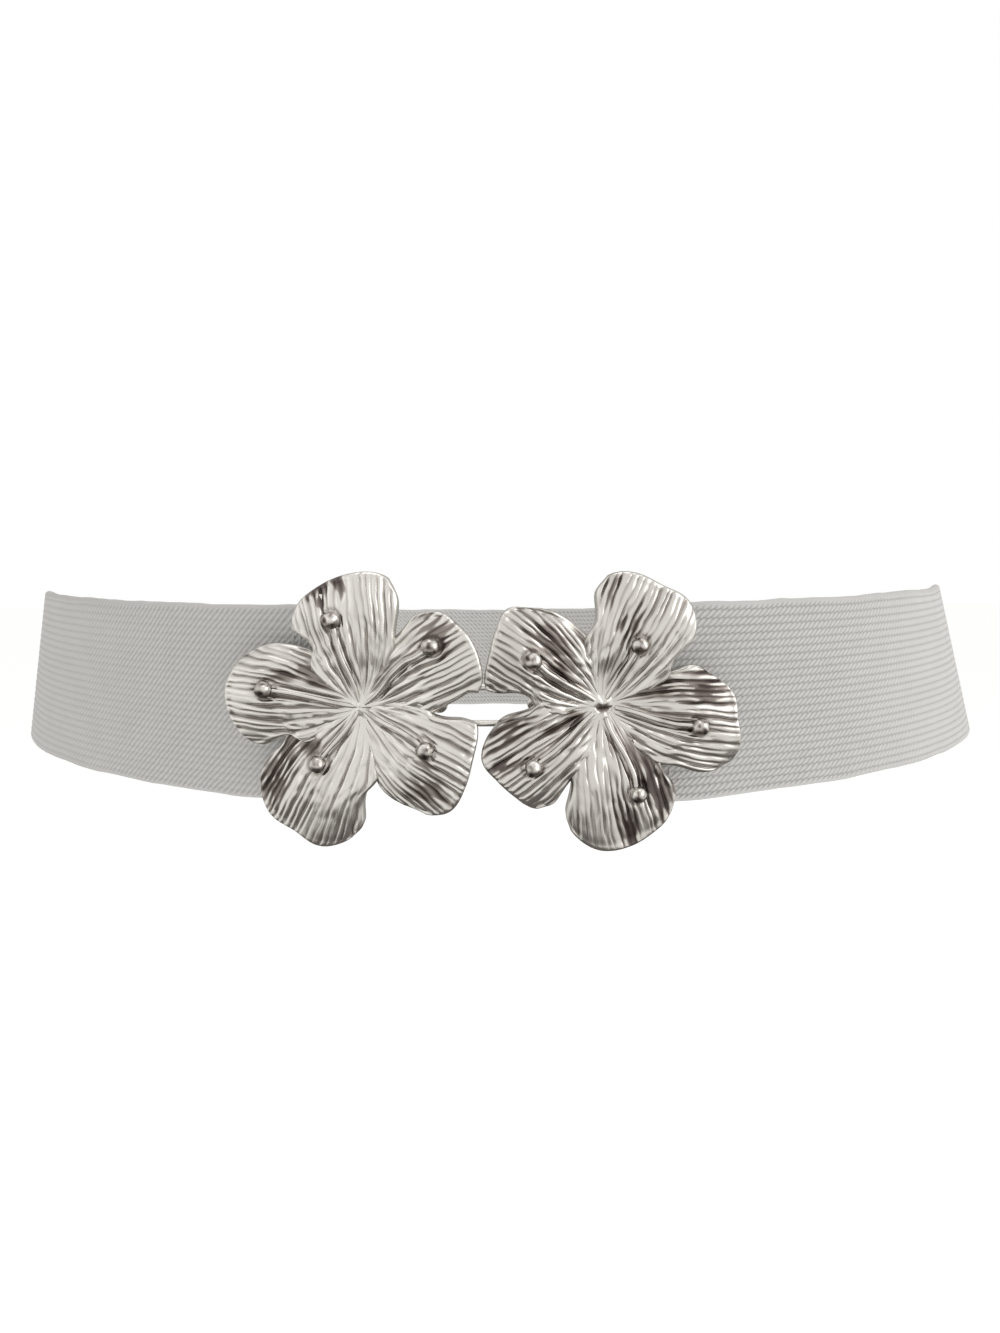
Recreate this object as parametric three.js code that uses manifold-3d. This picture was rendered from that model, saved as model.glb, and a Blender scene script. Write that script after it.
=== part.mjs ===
// A ribbed elastic waist belt that closes at the front with two cast metal flowers.
// Millimetres, +Z up. The origin is the middle of the waist loop, at half the elastic's width,
// and the flowers face -Y.
import * as THREE from 'three';
import { mergeVertices } from 'three/addons/utils/BufferGeometryUtils.js';
import Module from 'manifold-3d';

const wasm = await Module();
wasm.setup();

// The elastic and the loop that it makes round a waist
const elasticWidth = 40;
const elasticThickness = 1.8;
const loopHalfWidth = 132; // to the middle of the elastic's thickness
const loopHalfDepth = 98;
const loopFullness = 1.8; // 2 is an ellipse, less is more pointed at the front
const hipFlareLeft = 3.8; // how far the lower edge stands out at the side, past half height
const hipFlareRight = 5.6;
const flareStart = 45; // distance from the middle where the flare begins
const backDip = 15.5; // the middle of the back lies this much lower, as a waistline does
const dipStart = -32; // the loop is level in front of here
const dipEase = 8; // how gently the fall begins
const loopStep = 6; // length of one facet along the elastic

// The end of the elastic: folded round a bar and sewn down behind itself
const barRadius = 1.3;
const barClearance = 0.3;
const eyeLength = 6; // from the bar to where the two layers meet
const foldLength = 10; // from the bar to the sewn end of the fold
const foldSteps = 6;
const foldSides = 10; // facets of half a turn round the bar
const fineSteps = 1440; // samples of half the loop, for measuring along it

// The flowers
const flowerRadius = 27;
const petalClearance = 0.36; // between the nearest petals of the two flowers
const touchShare = 1.6825; // the two centres' distance at which these would touch, in radii
const flowerSpacing = touchShare * flowerRadius + petalClearance;
const flowerHeight = 1.1; // centre above the middle of the elastic
const flowerTurn = 9; // degrees, each flower faces a little outwards
const seatGap = 0.4; // least gap between the elastic and the back of a flower
const castThickness = 1.5;
const rimTaper = 0.6; // how far the rim's back edge lies inside its front edge
const cornerRound = 0.045; // how far a petal's corners are drawn in, as a share of its reach
const cornerStart = 0.75;
const petalRise = 3.0; // height of a petal's back above that of the hub
const petalCrown = 2.6; // how far its edges fall below its middle
const ridgeHeight = 0.4;
const ridgesPerPetal = 12;
const hubRadius = 3.4;
const hubDome = 0.5;
const beadRadius = 1.65;
const stalkRadius = 0.6;
const stalkStand = 0.15; // how far a stalk's axis stands over the petal, as a share of its radius
const beadStand = 0.55; // the same for the bead
const petalRows = 6;
const ridgeStart = 0.4; // the ridges and the stamens' lean are full from here, as a share of the reach
const crownStart = 0.9; // the edges' fall is full from here
const hubSides = 14;
const stalkSides = 6;
const beadSides = 10;
const beadRings = 7;

// The bracket behind each flower that holds the bar
const barOffset = 6; // from the flower's centre, towards the elastic
const bracketClearance = 0.5; // between the elastic's edge and the bracket's arm
const armWidth = 2.2;
const barSides = 12;

// The clasp: a link that is held by a headed stud behind each flower
const studSpacing = 19.6;
const claspShift = 1.1; // the clasp's middle lies a little to the right
const studRadius = 0.8;
const studHeadRadius = 1.7;
const studHeadThickness = 0.8;
const studClearance = 0.35;
const studSides = 10;
const linkHeight = 8.3;
const linkWire = 1.25;
const linkGap = 1.0; // between the petals' backs and the link
const linkSides = 8; // facets of half a turn at each end

// Each petal as seen from the front. Angles are degrees, anticlockwise from +X. turn is the
// middle of the petal. On each side, notch, shoulder and corner are half spans, at 0.62, 0.88
// and all of the way from the hub to the corner. reach goes from the right corner over the rim
// to the left corner, in shares of the flower's radius. edge is how far the right edge, the rim
// and the left edge stand forward, and ball is how far out the stamen's ball sits, as shares of
// petalCrown, petalRise and flowerRadius; ballTurn is its angle off the middle.
const leftFlower = [
  { turn: 100, right: [37, 30.5, 24.5], left: [28, 31, 24.5], reach: [0.975, 0.95, 0.915, 0.875, 0.85],
    edge: [0.35, -0.1, 0.45], ball: 0.64, ballTurn: 4 },
  { turn: 32, right: [33, 24, 24], left: [31, 26, 20], reach: [0.895, 0.93, 0.945, 0.92, 0.9],
    edge: [0.15, -0.35, -0.35], ball: 0.7, ballTurn: 7 },
  { turn: -35, right: [43, 29, 24], left: [31.5, 30, 28.5], reach: [0.935, 0.97, 0.93, 0.88, 0.875],
    edge: [-0.1, -0.2, 0.25], ball: 0.56, ballTurn: 6 },
  { turn: -119, right: [36, 28.5, 21.5], left: [31, 28, 23], reach: [1.065, 1.075, 1.055, 1.08, 1.02],
    edge: [0.2, -0.3, 0.1], ball: 0.5, ballTurn: -5 },
  { turn: 172.5, right: [37, 23, 14.5], left: [30, 29.5, 27], reach: [0.975, 0.98, 1, 0.975, 0.9],
    edge: [-0.25, -0.1, 0.3], ball: 0.68, ballTurn: -3 },
];
const rightFlower = [
  { turn: 64.5, right: [32, 28, 20.5], left: [32, 29.5, 24], reach: [0.945, 0.95, 0.935, 0.955, 0.955],
    edge: [0.45, -0.1, 0.35], ball: 0.49, ballTurn: -2 },
  { turn: -7, right: [34, 25.5, 18], left: [33.5, 29.5, 21.5], reach: [1.085, 1.05, 0.985, 0.955, 0.84],
    edge: [0.3, -0.1, -0.25], ball: 0.69, ballTurn: -5 },
  { turn: -77, right: [35, 31, 27], left: [31.5, 28.5, 21.5], reach: [0.965, 1.05, 1.04, 1, 0.97],
    edge: [0.1, -0.3, 0.2], ball: 0.66, ballTurn: 7 },
  { turn: -147, right: [33.5, 28, 22], left: [34.5, 30.5, 24.5], reach: [0.84, 0.93, 0.905, 0.885, 0.9],
    edge: [0.25, -0.2, -0.1], ball: 0.65, ballTurn: 4 },
  { turn: 143, right: [35.5, 21.5, 14], left: [28, 28.5, 28], reach: [0.945, 0.97, 0.94, 0.885, 0.865],
    edge: [-0.35, -0.35, 0.15], ball: 0.62, ballTurn: 3 },
];

const wedge = 43; // half span of every petal as far as the notches, so that neighbours overlap
const hubEnd = 0.05; // a petal starts this near to the centre, as a share of its reach
const domeStops = [0, 0.35, 0.7, 1]; // of the hub's radius
const stalkStops = [0.1, 0.3, 0.5, 0.75, 1]; // of the way to the ball
const sideStops = [0, 0.5, 0.62, 0.88, 1];
const rimStops = [-1, -0.5, 0, 0.5, 1];
// A petal's middle line from the hub to the rim, as shares of petalRise
const riseStops = [0, 0.2, 0.45, 0.7, 0.88, 1];
const riseShares = [0, 0.22, 0.68, 1, 0.98, 0.8];
const curlStart = 0.5; // the rim's own rise or fall begins here

// A smooth curve through the values at the given stops
function through(stops, values, x) {
  const last = stops.length - 1;
  let i = 0;
  while (i < last - 1 && x > stops[i + 1]) i += 1;
  const slope = (k) => {
    const a = Math.max(k - 1, 0);
    const b = Math.min(k + 1, last);
    return (values[b] - values[a]) / (stops[b] - stops[a]);
  };
  const h = stops[i + 1] - stops[i];
  const u = (x - stops[i]) / h;
  const start = (1 + 2 * u) * (1 - u) ** 2 * values[i] + u * (1 - u) ** 2 * h * slope(i);
  const end = u ** 2 * (3 - 2 * u) * values[i + 1] + u ** 2 * (u - 1) * h * slope(i + 1);
  return start + end;
}

const radians = THREE.MathUtils.degToRad;
const smooth = (x) => THREE.MathUtils.smoothstep(x, 0, 1);

// The height of a petal's back over the hub's back: s runs from hub to rim, t across
function petalHeight(petal, s, t) {
  const sides = t < 0 ? petal.edge[0] : petal.edge[2];
  const curl = petal.edge[1] * smooth((s - curlStart) / (1 - curlStart));
  const middle = petalRise * (through(riseStops, riseShares, s) + curl);
  const across = petalCrown * t * t * smooth(s / crownStart) * (sides - 1);
  return Math.max(middle + across, 0);
}

// A point of a petal, in the flower's own frame: lift is measured forward from the petal's back,
// whose rim lies a little inside the front's
function petalPoint(petal, s, t, lift) {
  const side = t < 0 ? petal.right : petal.left;
  const span = through(sideStops, [wedge, wedge, ...side], s);
  const angle = radians(petal.turn + t * span);
  const inside = lift > 0 ? 0 : rimTaper * s;
  const rounded = 1 - cornerRound * t ** 6 * smooth((s - cornerStart) / (1 - cornerStart));
  const radius = flowerRadius * s * rounded * through(rimStops, petal.reach, t) - inside;
  const forward = petalHeight(petal, s, t) + lift;
  return new THREE.Vector3(radius * Math.cos(angle), -forward, radius * Math.sin(angle));
}

// A grid of points from hub to rim, rows by columns
function petalGrid(petal, rows, columns, lift) {
  const grid = [];
  for (let i = 0; i <= rows; i += 1) {
    const s = hubEnd + (1 - hubEnd) * (i / rows);
    for (let j = 0; j <= columns; j += 1) {
      const t = (2 * j) / columns - 1;
      grid.push(petalPoint(petal, s, t, lift(s, j)));
    }
  }
  return grid;
}

// The grid's border in order, as [index, place along the border] pairs
function border(rows, columns) {
  const at = (i, j) => i * (columns + 1) + j;
  const loop = [];
  for (let j = 0; j < columns; j += 1) loop.push([at(0, j), j / columns]);
  for (let i = 0; i < rows; i += 1) loop.push([at(i, columns), 1 + i / rows]);
  for (let j = columns; j > 0; j -= 1) loop.push([at(rows, j), 2 + (columns - j) / columns]);
  for (let i = rows; i > 0; i -= 1) loop.push([at(i, 0), 3 + (rows - i) / rows]);
  return loop;
}

// One petal: a ridged front, a plainer back and the rim between them
function petalGeometry(petal) {
  const columns = 2 * ridgesPerPetal;
  const backRows = Math.ceil(petalRows / 2);
  const backColumns = Math.ceil(ridgesPerPetal / 2);
  const ridge = (s, j) => castThickness + (j % 2) * ridgeHeight * smooth(s / ridgeStart);
  const front = petalGrid(petal, petalRows, columns, ridge);
  const back = petalGrid(petal, backRows, backColumns, () => 0);
  const triangles = [];
  const cells = (rows, across, first, isBack) => {
    for (let i = 0; i < rows; i += 1) {
      for (let j = 0; j < across; j += 1) {
        const a = first + i * (across + 1) + j;
        const b = a + 1;
        const c = a + across + 1;
        const d = c + 1;
        if (isBack) triangles.push(a, b, c, b, d, c);
        else triangles.push(a, c, b, b, c, d);
      }
    }
  };
  cells(petalRows, columns, 0, false);
  cells(backRows, backColumns, front.length, true);
  const above = border(petalRows, columns);
  const below = border(backRows, backColumns).map(([k, u]) => [k + front.length, u]);
  let i = 0;
  let j = 0;
  while (i < above.length || j < below.length) {
    const a = above[i % above.length][0];
    const b = below[j % below.length][0];
    const nextAbove = i < above.length ? (above[i + 1] ?? [0, 4])[1] : Infinity;
    const nextBelow = j < below.length ? (below[j + 1] ?? [0, 4])[1] : Infinity;
    if (nextAbove <= nextBelow) {
      i += 1;
      triangles.push(b, a, above[i % above.length][0]);
    } else {
      j += 1;
      triangles.push(b, a, below[j % below.length][0]);
    }
  }
  const geometry = new THREE.BufferGeometry().setFromPoints([...front, ...back]);
  geometry.setIndex(triangles);
  return geometry;
}

const weld = 1e-3; // points closer than this are one point

function solid(geometry) {
  const bare = geometry.clone();
  bare.deleteAttribute('normal');
  bare.deleteAttribute('uv');
  const merged = mergeVertices(bare, weld);
  return new wasm.Manifold(new wasm.Mesh({
    numProp: 3,
    vertProperties: new Float32Array(merged.attributes.position.array),
    triVerts: new Uint32Array(merged.index.array),
  }));
}

function geometryOf(body) {
  const mesh = body.getMesh();
  const geometry = new THREE.BufferGeometry();
  geometry.setAttribute('position', new THREE.BufferAttribute(mesh.vertProperties, 3));
  geometry.setIndex(new THREE.BufferAttribute(mesh.triVerts, 1));
  geometry.computeVertexNormals();
  return geometry;
}

// A rod between two points
function rod(from, to, radius, sides) {
  const geometry = new THREE.CylinderGeometry(radius, radius, from.distanceTo(to), sides);
  const along = to.clone().sub(from).normalize();
  geometry.applyQuaternion(new THREE.Quaternion().setFromUnitVectors(new THREE.Vector3(0, 1, 0), along));
  return geometry.translate(...from.clone().lerp(to, 0.5).toArray());
}

// The petal and the place on it that lie behind a point given by radius and angle
function placeOn(petals, x, z) {
  const angle = THREE.MathUtils.radToDeg(Math.atan2(z, x));
  const off = (petal) => THREE.MathUtils.euclideanModulo(angle - petal.turn + 180, 360) - 180;
  const nearer = (best, next) => (Math.abs(off(next)) < Math.abs(off(best)) ? next : best);
  const petal = petals.reduce(nearer);
  let s = 0.5;
  let t = 0;
  for (let k = 0; k < 8; k += 1) {
    const side = t < 0 ? petal.right : petal.left;
    t = THREE.MathUtils.clamp(off(petal) / through(sideStops, [wedge, wedge, ...side], s), -1, 1);
    s = Math.min(Math.hypot(x, z) / (flowerRadius * through(rimStops, petal.reach, t)), 1);
  }
  return petalHeight(petal, s, t);
}

const foldGap = barRadius + barClearance;
const foldRadius = foldGap + elasticThickness;
const barDepth = foldRadius + seatGap; // the bar's axis behind the back of the hub
const armHeight = elasticWidth / 2 + bracketClearance + armWidth / 2;
const linkDepth = linkGap + linkWire; // the link's back behind the back of the hub

// A flower with its stamens, its bracket and its stud, at its place on the belt. outer is -1 where
// the elastic is to the left
function flowerGeometry(petals, outer, studPlace, place) {
  const pieces = petals.map(petalGeometry);
  const hubTop = castThickness + hubDome;
  const dome = domeStops.map((u) => new THREE.Vector2(hubRadius * u, hubTop - hubDome * u * u));
  const profile = [new THREE.Vector2(0, 0), new THREE.Vector2(hubRadius, 0), ...dome.reverse()];
  pieces.push(new THREE.LatheGeometry(profile, hubSides).rotateX(Math.PI));
  for (const petal of petals) {
    const t = petal.ballTurn / petal.left[1];
    const over = (s, lift) => petalPoint(petal, s, t * smooth(s / ridgeStart), castThickness + lift);
    const reach = petal.ball / through(rimStops, petal.reach, t);
    const stops = stalkStops.map((u) => over(reach * u, stalkRadius * stalkStand));
    for (let k = 0; k + 1 < stops.length; k += 1) {
      pieces.push(rod(stops[k], stops[k + 1], stalkRadius, stalkSides));
    }
    const centre = over(reach, beadRadius * beadStand);
    pieces.push(new THREE.SphereGeometry(beadRadius, beadSides, beadRings).translate(...centre.toArray()));
  }
  const barX = outer * barOffset;
  const low = -armHeight - flowerHeight;
  const high = armHeight - flowerHeight;
  const barLow = new THREE.Vector3(barX, barDepth, low);
  const barHigh = new THREE.Vector3(barX, barDepth, high);
  pieces.push(rod(barLow, barHigh, barRadius, barSides));
  for (const z of [low, high]) {
    const length = barDepth + barRadius + placeOn(petals, barX, z) + castThickness / 2;
    const arm = new THREE.BoxGeometry(2 * barRadius, length, armWidth);
    pieces.push(arm.translate(barX, barDepth + barRadius - length / 2, z));
  }
  const studTop = -placeOn(petals, studPlace, 0) - castThickness / 2;
  const studEnd = linkDepth + studClearance;
  const foot = new THREE.Vector3(studPlace, studTop, 0);
  const neck = new THREE.Vector3(studPlace, studEnd, 0);
  const tip = new THREE.Vector3(studPlace, studEnd + studHeadThickness, 0);
  pieces.push(rod(foot, tip, studRadius, studSides));
  pieces.push(rod(neck, tip, studHeadRadius, studSides));
  const joined = geometryOf(pieces.map(solid).reduce((all, piece) => all.add(piece)));
  // Specks of air that the petals shut in where they cross are filled
  const largest = (best, next) => (next.volume() > best.volume() ? next : best);
  return geometryOf(solid(joined.applyMatrix4(place)).decompose().reduce(largest));
}

// The loop's middle surface seen from above, sampled from the front to the back on the right
function loopSamples() {
  const samples = [];
  let along = 0;
  const power = 2 / loopFullness;
  for (let k = 0; k <= fineSteps; k += 1) {
    const angle = -Math.PI / 2 + (Math.PI * k) / fineSteps;
    const c = Math.cos(angle);
    const s = Math.sin(angle);
    const x = loopHalfWidth * Math.sign(c) * Math.abs(c) ** power;
    const y = loopHalfDepth * Math.sign(s) * Math.abs(s) ** power;
    if (k) along += Math.hypot(x - samples[k - 1].x, y - samples[k - 1].y);
    samples.push({ x: k > 0 && k < fineSteps ? x : 0, y, along });
  }
  return samples;
}

const samples = loopSamples();
const halfLength = samples[samples.length - 1].along;

function sampleAt(distance) {
  const along = THREE.MathUtils.clamp(distance, 0, halfLength);
  const k = Math.max(samples.findIndex((point) => point.along >= along), 1);
  const a = samples[k - 1];
  const b = samples[k];
  const u = (along - a.along) / (b.along - a.along);
  const x = a.x + (b.x - a.x) * u;
  const y = a.y + (b.y - a.y) * u;
  const length = Math.hypot(b.x - a.x, b.y - a.y);
  return { x, y, alongX: (b.x - a.x) / length, alongY: (b.y - a.y) / length };
}

// Where each flower sits: its bar lies in the middle of the elastic's fold
const turn = radians(flowerTurn);
const barX = flowerSpacing / 2 + barOffset * Math.cos(turn) - barDepth * Math.sin(turn);
const past = samples.findIndex((point) => point.x >= barX);
const [before, after] = [samples[past - 1], samples[past]];
const barShare = (barX - before.x) / (after.x - before.x);
const barAlong = before.along + (after.along - before.along) * barShare;
const fold = sampleAt(barAlong);
// Outwards is to the right of the way along the loop
const outward = { x: fold.alongY, y: -fold.alongX };
const barPlace = {
  x: fold.x - (outward.x * elasticThickness) / 2,
  y: fold.y - (outward.y * elasticThickness) / 2,
};
const flowerY = barPlace.y - barOffset * Math.sin(turn) - barDepth * Math.cos(turn);
const flowerX = barPlace.x - barOffset * Math.cos(turn) + barDepth * Math.sin(turn);

// A point at a distance from the bar along the elastic, moved outwards by an offset
function besideLoop(distance, offset) {
  const point = sampleAt(barAlong + distance);
  return new THREE.Vector2(point.x + point.alongY * offset, point.y - point.alongX * offset);
}

function elasticGeometry() {
  const half = elasticThickness / 2;
  const gap = (d) => (d < eyeLength ? (foldGap * (1 + Math.cos((Math.PI * d) / eyeLength))) / 2 : 0);
  const far = halfLength - barAlong;
  const foldStops = Array.from({ length: foldSteps + 1 }, (_, k) => (eyeLength * k) / foldSteps);
  const longSteps = Math.round((far - foldLength) / loopStep);
  const longStops = Array.from({ length: longSteps + 1 }, (_, k) => (
    foldLength + ((far - foldLength) * k) / longSteps));
  const front = [...foldStops, ...longStops].map((d) => besideLoop(d, half + gap(d)));
  const tail = [...foldStops, foldLength].map((d) => besideLoop(d, -3 * half - gap(d)));
  const back = [...tail, ...longStops.map((d) => besideLoop(d, -half))];
  // The end that goes round the bar, from the back to the front
  const across = Math.atan2(outward.y, outward.x);
  const round = (radius) => Array.from({ length: foldSides - 1 }, (_, k) => {
    const angle = across + Math.PI + (Math.PI * (k + 1)) / foldSides;
    return new THREE.Vector2(barPlace.x + radius * Math.cos(angle), barPlace.y + radius * Math.sin(angle));
  });
  const mirrored = (points) => points.map((p) => new THREE.Vector2(-p.x, p.y));
  const right = [...back.slice(0, -1).reverse(), ...round(foldRadius), ...front];
  const outline = [...right, ...mirrored(right).reverse().slice(1)];
  const eye = [
    ...foldStops.slice(1, -1).reverse().map((d) => besideLoop(d, -half - gap(d))),
    besideLoop(0, -half - gap(0)),
    ...round(foldGap),
    ...foldStops.slice(0, -1).map((d) => besideLoop(d, -half + gap(d))),
    besideLoop(eyeLength, -half),
  ];
  const shape = new THREE.Shape(outline);
  shape.holes.push(new THREE.Path(eye), new THREE.Path(mirrored(eye)));
  const geometry = new THREE.ExtrudeGeometry(shape, { depth: elasticWidth, bevelEnabled: false, steps: 1 });
  geometry.translate(0, 0, -elasticWidth / 2);
  // The lower edge stands out over the hips, the upper edge goes in, and the back lies lower
  const fall = (y) => Math.max(y - dipStart, 0) ** 2 / (Math.max(y - dipStart, 0) + dipEase);
  const position = geometry.attributes.position;
  for (let k = 0; k < position.count; k += 1) {
    const x = position.getX(k);
    const flare = x < 0 ? -hipFlareLeft : hipFlareRight;
    const share = smooth((Math.abs(x) - flareStart) / (loopHalfWidth - flareStart));
    position.setX(k, x - (flare * share * position.getZ(k)) / (elasticWidth / 2));
    const drop = (backDip * fall(position.getY(k))) / fall(loopHalfDepth);
    position.setZ(k, position.getZ(k) - drop);
  }
  return geometry;
}

// A flat oval link, lying upright
function linkGeometry() {
  const oval = (Type, radius) => {
    const straight = studSpacing / 2 + studRadius + studClearance + linkWire - linkHeight / 2;
    const path = new Type();
    path.absarc(straight, 0, radius, -Math.PI / 2, Math.PI / 2);
    path.absarc(-straight, 0, radius, Math.PI / 2, (3 * Math.PI) / 2);
    return path;
  };
  const shape = oval(THREE.Shape, linkHeight / 2);
  shape.holes.push(oval(THREE.Path, linkHeight / 2 - linkWire));
  const options = { depth: linkWire, bevelEnabled: false, curveSegments: linkSides };
  const geometry = new THREE.ExtrudeGeometry(shape, options);
  return geometry.rotateX(Math.PI / 2);
}

const silver = new THREE.MeshStandardMaterial({ color: 0xd5d2ca, roughness: 0.16, metalness: 1 });
const elastic = new THREE.MeshStandardMaterial({ color: 0xc3c2bd, roughness: 0.85, metalness: 0 });

const belt = new THREE.Group();

const band = new THREE.Mesh(elasticGeometry(), elastic);
band.name = 'elastic_band';
belt.add(band);

for (const [name, petals, side] of [['flower_left', leftFlower, -1], ['flower_right', rightFlower, 1]]) {
  const studPlace = (-side * (flowerX - studSpacing / 2 - side * claspShift)) / Math.cos(turn);
  const place = new THREE.Matrix4().makeRotationZ(side * turn);
  place.setPosition(side * flowerX, flowerY, flowerHeight);
  const flower = new THREE.Mesh(flowerGeometry(petals, side, studPlace, place), silver);
  flower.name = name;
  belt.add(flower);
}

const link = new THREE.Mesh(linkGeometry(), silver);
link.name = 'clasp_link';
const studDepth = flowerY - (flowerSpacing / 2 - studSpacing / 2) * Math.sin(turn);
link.position.set(claspShift, studDepth + linkGap + linkWire, flowerHeight);
belt.add(link);

export default belt;
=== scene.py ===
import math
from bisect import bisect_left

import bpy
from mathutils import Matrix, Vector, noise


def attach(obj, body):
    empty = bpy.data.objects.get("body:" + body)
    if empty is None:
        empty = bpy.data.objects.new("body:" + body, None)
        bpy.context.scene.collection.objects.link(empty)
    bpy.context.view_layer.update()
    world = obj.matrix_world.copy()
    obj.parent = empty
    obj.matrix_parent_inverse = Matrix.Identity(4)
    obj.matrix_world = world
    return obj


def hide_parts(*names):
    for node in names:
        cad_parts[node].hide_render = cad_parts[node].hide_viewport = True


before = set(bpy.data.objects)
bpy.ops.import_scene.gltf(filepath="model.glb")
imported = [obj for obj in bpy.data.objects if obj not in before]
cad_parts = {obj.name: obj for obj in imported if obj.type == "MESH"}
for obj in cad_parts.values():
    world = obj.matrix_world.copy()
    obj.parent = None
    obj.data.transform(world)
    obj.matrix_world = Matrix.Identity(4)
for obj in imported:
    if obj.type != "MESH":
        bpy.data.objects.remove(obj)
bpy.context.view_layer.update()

bpy.ops.object.select_all(action="DESELECT")
scene = bpy.context.scene

MILLIMETRE = 0.001  # in metres

# Sizes in millimetres, as in the part's source
ELASTIC_WIDTH = 40.0
ELASTIC_THICKNESS = 1.8
LOOP_HALF_WIDTH = 132.0
LOOP_HALF_DEPTH = 98.0
LOOP_FULLNESS = 1.8
HIP_FLARE_LEFT = 3.8
HIP_FLARE_RIGHT = 5.6
FLARE_START = 45.0
BACK_DIP = 15.5
DIP_START = -32.0
DIP_EASE = 8.0
BAR_RADIUS = 1.3
BAR_CLEARANCE = 0.3
EYE_LENGTH = 6.0
FOLD_LENGTH = 10.0
FINE_STEPS = 1440
FLOWER_RADIUS = 27.0
FLOWER_SPACING = 1.6825 * FLOWER_RADIUS + 0.36
FLOWER_HEIGHT = 1.1
FLOWER_TURN = math.radians(9)
SEAT_GAP = 0.4
CAST_THICKNESS = 1.5
RIM_TAPER = 0.6
CORNER_ROUND = 0.045
CORNER_START = 0.75
PETAL_RISE = 3.0
PETAL_CROWN = 2.6
BEAD_RADIUS = 1.65
STALK_RADIUS = 0.6
BAR_OFFSET = 6.0
BRACKET_CLEARANCE = 0.5
ARM_WIDTH = 2.2
STUD_SPACING = 19.6
CLASP_SHIFT = 1.1
STUD_RADIUS = 0.8
STUD_HEAD_RADIUS = 1.7
STUD_HEAD_THICKNESS = 0.8
STUD_CLEARANCE = 0.35
LINK_HEIGHT = 8.3
LINK_WIRE = 1.25
LINK_GAP = 1.0
HALF = ELASTIC_THICKNESS / 2
FOLD_GAP = BAR_RADIUS + BAR_CLEARANCE
BAR_DEPTH = FOLD_GAP + ELASTIC_THICKNESS + SEAT_GAP

# Petals as in the part's source: turn, half spans of the right and the left side, reach from the
# right corner over the rim to the left corner, how far the edges and the rim stand forward, and
# where the stamen's ball sits. Each mark is a hollow painted dark as a reflection, or a bright
# swell painted a little lighter as a highlight where its depth is negative: how far out and how
# far to the left it lies, its half length and half width, all as shares of the petal, and its depth.
LEFT_FLOWER = [
    {"turn": 100, "right": [37, 30.5, 24.5], "left": [28, 31, 24.5],
     "reach": [0.975, 0.95, 0.915, 0.875, 0.85], "edge": [0.35, -0.1, 0.45],
     "ball": 0.64, "ball_turn": 4,
     "marks": [(0.94, -0.13, 0.1, 0.07, 1.7), (0.88, 0.25, 0.1, 0.07, 1.7),
               (0.985, 0.25, 0.05, 0.32, 1.6), (0.6, 0.05, 0.2, 0.3, -0.3)]},
    {"turn": 32, "right": [33, 24, 24], "left": [31, 26, 20],
     "reach": [0.895, 0.93, 0.945, 0.92, 0.9], "edge": [0.15, -0.35, -0.35],
     "ball": 0.7, "ball_turn": 7,
     "marks": [(0.84, 0.5, 0.16, 0.34, 1), (0.8, 0.1, 0.1, 0.16, 0.9), (0.4, 0.72, 0.14, 0.2, 1)]},
    {"turn": -35, "right": [43, 29, 24], "left": [31.5, 30, 28.5],
     "reach": [0.935, 0.97, 0.93, 0.88, 0.875], "edge": [-0.1, -0.2, 0.25],
     "ball": 0.56, "ball_turn": 6,
     "marks": [(0.78, -0.42, 0.16, 0.36, 0.9), (0.64, -0.04, 0.1, 0.14, 0.9),
               (0.45, 0.15, 0.15, 0.3, -0.3)]},
    {"turn": -119, "right": [36, 28.5, 21.5], "left": [31, 28, 23],
     "reach": [1.065, 1.075, 1.055, 1.08, 1.02], "edge": [0.2, -0.3, 0.1],
     "ball": 0.5, "ball_turn": -5,
     "marks": [(0.8, -0.66, 0.26, 0.3, 1.25), (0.42, -0.52, 0.05, 0.14, 1.5),
               (0.5, -0.85, 0.2, 0.1, 0.9), (0.82, 0.15, 0.15, 0.35, -0.5)]},
    {"turn": 172.5, "right": [37, 23, 14.5], "left": [30, 29.5, 27],
     "reach": [0.975, 0.98, 1, 0.975, 0.9], "edge": [-0.25, -0.1, 0.3],
     "ball": 0.68, "ball_turn": -3,
     "marks": [(0.42, -0.6, 0.18, 0.22, 0.9), (0.62, -0.36, 0.08, 0.1, 1.2),
               (0.72, 0.55, 0.12, 0.25, -0.6)]},
]
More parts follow.
